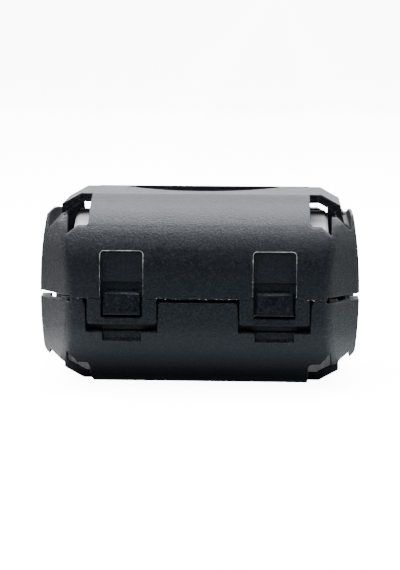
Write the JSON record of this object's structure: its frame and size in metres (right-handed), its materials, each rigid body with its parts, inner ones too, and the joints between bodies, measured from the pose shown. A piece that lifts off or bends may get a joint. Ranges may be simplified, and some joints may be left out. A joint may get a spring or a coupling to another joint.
{
  "type": "clip_on_ferrite_core",
  "caption": "Black plastic clip-on ferrite core for a cable: hinged halves with rounded shoulders and chamfered ends, closed by loops that catch under hooks, with a half-moon label recess on top",
  "frame": {"origin": "centre of the cable passage, on the parting plane, halfway along the case", "axes": "+X along the cable, -Y towards the latches, +Z from the lower half to the upper half with the label recess"},
  "size_m": [0.036, 0.0238, 0.0218],
  "materials": {
    "case": "fine spark-eroded black nylon",
    "ferrite": null
  },
  "bodies": {
    "lower": {"lower_shell": "case", "lower_core": "ferrite", "hinge_strap_left": "case", "hinge_strap_right": "case"},
    "upper": {"upper_shell": "case", "upper_core": "ferrite"},
    "latch_left": {"latch_loop_left": "case"},
    "latch_right": {"latch_loop_right": "case"}
  },
  "joints": [
    {"name": "case_hinge", "type": "hinge", "parent": "lower", "child": "upper", "pos_m": [0, 0.0119, 0], "axis": [-1, 0, 0], "range_deg": [0, 180], "deforming": ["hinge_strap_left", "hinge_strap_right"]},
    {"name": "latch_left_flex", "type": "hinge", "parent": "upper", "child": "latch_left", "pos_m": [-0.0085, -0.0112, 0], "axis": [-1, 0, 0], "range_deg": [0, 30], "stiffness_Nm_per_rad": 0.05},
    {"name": "latch_right_flex", "type": "hinge", "parent": "upper", "child": "latch_right", "pos_m": [0.0085, -0.0112, 0], "axis": [-1, 0, 0], "range_deg": [0, 30], "stiffness_Nm_per_rad": 0.05}
  ]
}
